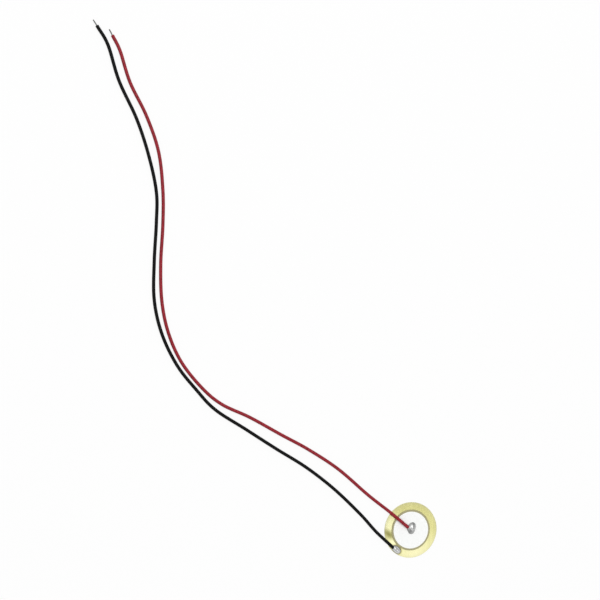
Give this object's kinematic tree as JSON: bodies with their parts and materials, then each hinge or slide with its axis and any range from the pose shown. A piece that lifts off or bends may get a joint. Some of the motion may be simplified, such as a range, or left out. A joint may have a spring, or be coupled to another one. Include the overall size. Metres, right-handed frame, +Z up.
{
  "type": "piezo disc with leads",
  "caption": "Round piezo element: brass plate with a silvered ceramic face and a soldered red and black lead, bare at the far ends.",
  "frame": {"origin": "centre of the brass plate's underside, on the surface that the disc and its leads lie on", "axes": "+Z up out of the silvered face; the leads run off towards -X and then +Y"},
  "size_m": [0.1669, 0.2522, 0.0022],
  "materials": {
    "brass": "satin",
    "glue": "gloss",
    "fired_silver": "matte",
    "piezo_ceramic": "matte",
    "solder": "satin",
    "tinned_copper": "satin",
    "red_pvc": "satin",
    "black_pvc": "satin"
  },
  "bodies": {
    "root": {"brass_plate": "brass", "glue_layer": "glue", "rear_electrode": "fired_silver", "ceramic_disc": "piezo_ceramic", "front_electrode": "fired_silver", "centre_solder": "solder", "rim_solder": "solder", "red_insulation": "red_pvc", "red_conductor": "tinned_copper", "black_insulation": "black_pvc", "black_conductor": "tinned_copper"}
  },
  "joints": []
}
